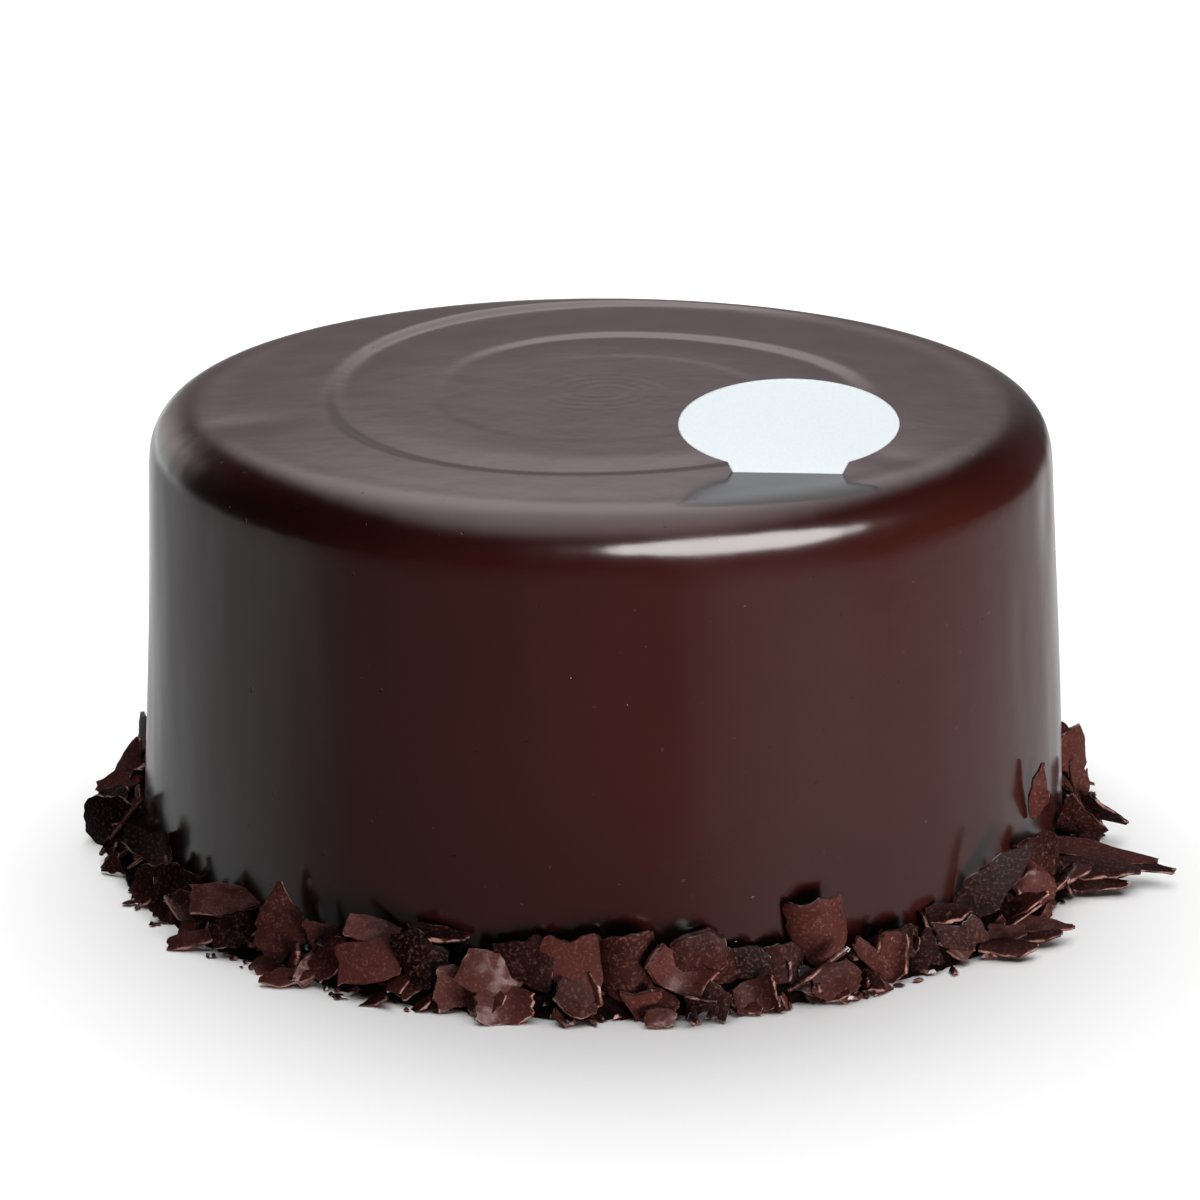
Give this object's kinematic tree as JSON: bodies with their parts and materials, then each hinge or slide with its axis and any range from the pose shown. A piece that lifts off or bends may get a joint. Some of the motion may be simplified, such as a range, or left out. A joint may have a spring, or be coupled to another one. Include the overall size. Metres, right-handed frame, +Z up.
{
  "type": "chocolate fudge cake",
  "caption": "Round uncut chocolate cake with a glossy poured glaze, a spatula swirl on top, a collar of broken chocolate shards round its foot and a bare white oval tag",
  "frame": {"origin": "centre of the cake's flat base", "axes": "+Z is up, -Y faces the viewer of the picture, +X is to the viewer's right"},
  "size_m": [0.2449, 0.2345, 0.1217],
  "materials": {
    "glaze": "glossy dark chocolate fudge glaze",
    "chocolate": "satin broken dark chocolate",
    "card": "smooth white card"
  },
  "bodies": {
    "root": {"cake": "glaze", "chocolate_shards": "chocolate", "wall_shard": "chocolate", "tag": "card"}
  },
  "joints": []
}
